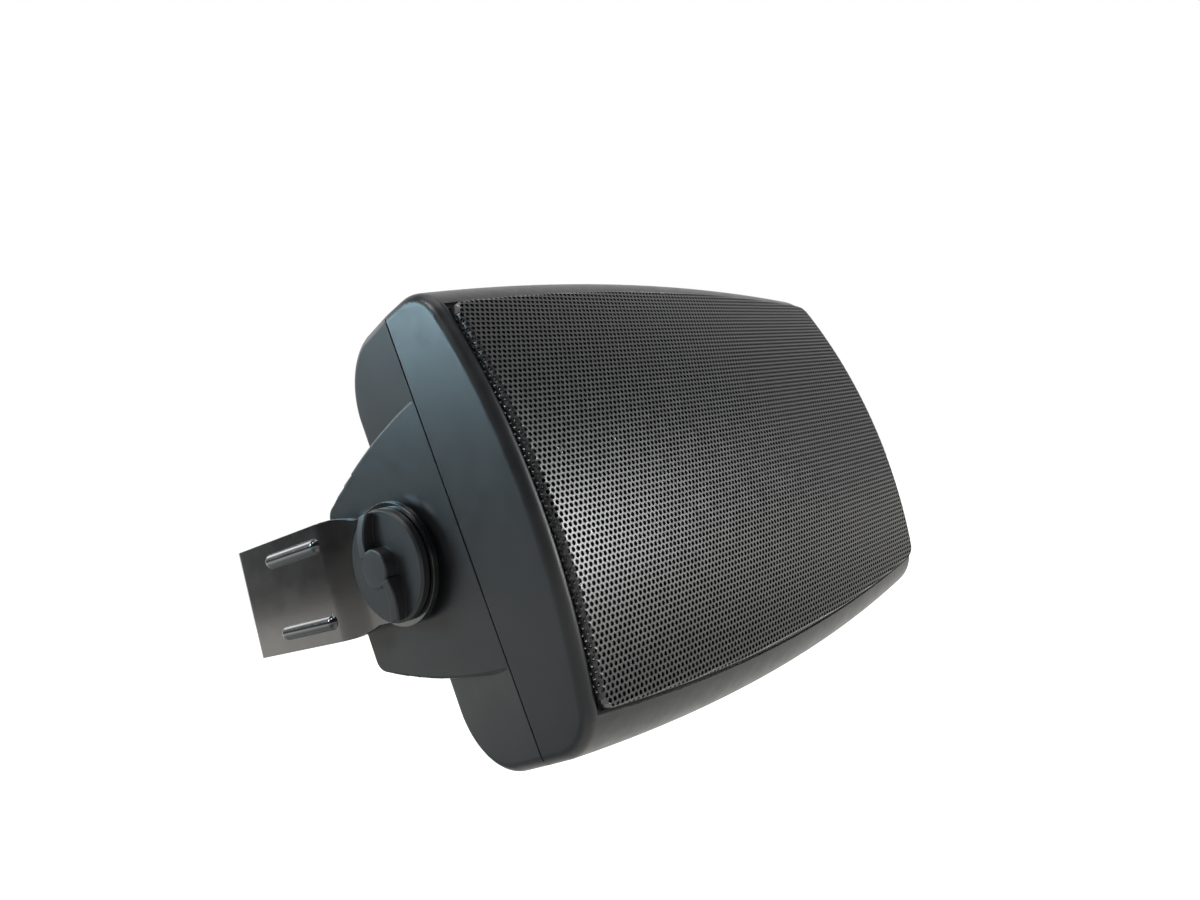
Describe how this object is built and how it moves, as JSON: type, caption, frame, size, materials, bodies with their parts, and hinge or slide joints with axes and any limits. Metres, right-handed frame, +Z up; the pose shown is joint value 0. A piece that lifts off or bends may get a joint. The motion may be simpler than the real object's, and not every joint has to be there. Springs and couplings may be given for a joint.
{
  "type": "wall-mount loudspeaker",
  "caption": "Black two-way loudspeaker with a bowed perforated grille, tilting between the knob-clamped ears of a folded steel wall bracket.",
  "frame": {"origin": "centre of the bracket's wall face, midway between the two wall slots", "axes": "+Z up, +Y into the wall, so the grille faces -Y; +X to the right of someone facing the grille"},
  "size_m": [0.2488, 0.1548, 0.1605],
  "materials": {
    "abs_black": "fine moulded grain, satin",
    "grille_paint": "black powder paint, satin",
    "bracket_paint": "black gloss paint",
    "knob_plastic": "dark grey moulding, satin",
    "rubber_black": "matt",
    "zinc_steel": "bright zinc plate",
    "basket_paint": "black, satin",
    "brass_plain": "turned and pressed",
    "ferrite": "dull sintered",
    "cone_paper": "pressed paper pulp, dull",
    "coil_former": "thin foil",
    "copper_wire": "enamelled wire",
    "spider_cloth": "resin-stiffened cloth",
    "face_plastic": "satin",
    "dome_silk": "coated weave",
    "board_green": "lacquered laminate",
    "capacitor_sleeve": "shrink sleeve",
    "bobbin_plastic": "plain moulding",
    "resistor_ceramic": "unglazed ceramic",
    "cup_plastic": "satin",
    "lever_red": "moulded gloss",
    "lever_black": "moulded gloss",
    "wadding": "loose fibre wadding"
  },
  "bodies": {
    "bracket": {"bracket": "bracket_paint"},
    "cabinet": {"front_frame": "abs_black", "rear_shell": "abs_black", "grille": "grille_paint", "friction_washer_left": "rubber_black", "friction_washer_right": "rubber_black", "shell_gasket": "rubber_black", "woofer_surround": "rubber_black", "woofer_trim": "rubber_black", "shell_screws": "zinc_steel", "woofer_screws": "zinc_steel", "tweeter_screws": "zinc_steel", "board_screws": "zinc_steel", "cup_screws": "zinc_steel", "woofer_top_plate": "zinc_steel", "woofer_yoke": "zinc_steel", "tweeter_pot": "zinc_steel", "tweeter_pole": "zinc_steel", "woofer_basket": "basket_paint", "pivot_insert_left": "brass_plain", "pivot_insert_right": "brass_plain", "contact_red": "brass_plain", "contact_black": "brass_plain", "woofer_magnet": "ferrite", "tweeter_magnet": "ferrite", "inductor_winding": "copper_wire", "woofer_spider": "spider_cloth", "tweeter_face": "face_plastic", "tweeter_surround": "dome_silk", "crossover_board": "board_green", "crossover_capacitor": "capacitor_sleeve", "inductor_bobbin": "bobbin_plastic", "crossover_resistor": "resistor_ceramic", "terminal_cup": "cup_plastic", "damping_pad": "wadding"},
    "knob_left": {"knob_left": "knob_plastic", "knob_stud_left": "zinc_steel", "press_washer_left": "zinc_steel"},
    "knob_right": {"knob_right": "knob_plastic", "knob_stud_right": "zinc_steel", "press_washer_right": "zinc_steel"},
    "cone": {"woofer_cone": "cone_paper", "woofer_dust_cap": "cone_paper", "woofer_coil_former": "coil_former", "woofer_voice_coil": "copper_wire"},
    "dome": {"tweeter_dome": "dome_silk", "tweeter_voice_coil": "copper_wire"},
    "lever_red": {"lever_red": "lever_red"},
    "lever_black": {"lever_black": "lever_black"}
  },
  "joints": [
    {"name": "tilt", "type": "hinge", "parent": "bracket", "child": "cabinet", "pos_m": [0, -0.0877, 0], "axis": [1, 0, 0], "range_deg": [-66.7, 83.3]},
    {"name": "knob_turn_left", "type": "hinge", "parent": "cabinet", "child": "knob_left", "pos_m": [-0.119, -0.0877, 0], "axis": [-1, 0, 0], "range_deg": [0, 540]},
    {"name": "knob_turn_right", "type": "hinge", "parent": "cabinet", "child": "knob_right", "pos_m": [0.119, -0.0877, 0], "axis": [1, 0, 0], "range_deg": [0, 540]},
    {"name": "cone_stroke", "type": "slide", "parent": "cabinet", "child": "cone", "axis": [0, -0.9895, 0.1444], "range_m": [-0.003, 0.003], "stiffness_N_per_m": 900, "deforming": ["woofer_surround", "woofer_spider"]},
    {"name": "dome_stroke", "type": "slide", "parent": "cabinet", "child": "dome", "axis": [0, -0.9895, 0.1444], "range_m": [-0.0003, 0.0003], "stiffness_N_per_m": 900, "deforming": ["tweeter_surround"]},
    {"name": "lever_red_press", "type": "hinge", "parent": "cabinet", "child": "lever_red", "pos_m": [0.0105, -0.06112, -0.01247], "axis": [1, 0, 0], "range_deg": [0, 10], "stiffness_Nm_per_rad": 0.15, "springref_deg": -8.59},
    {"name": "lever_black_press", "type": "hinge", "parent": "cabinet", "child": "lever_black", "pos_m": [-0.0105, -0.06112, -0.01247], "axis": [1, 0, 0], "range_deg": [0, 10], "stiffness_Nm_per_rad": 0.15, "springref_deg": -8.59}
  ]
}
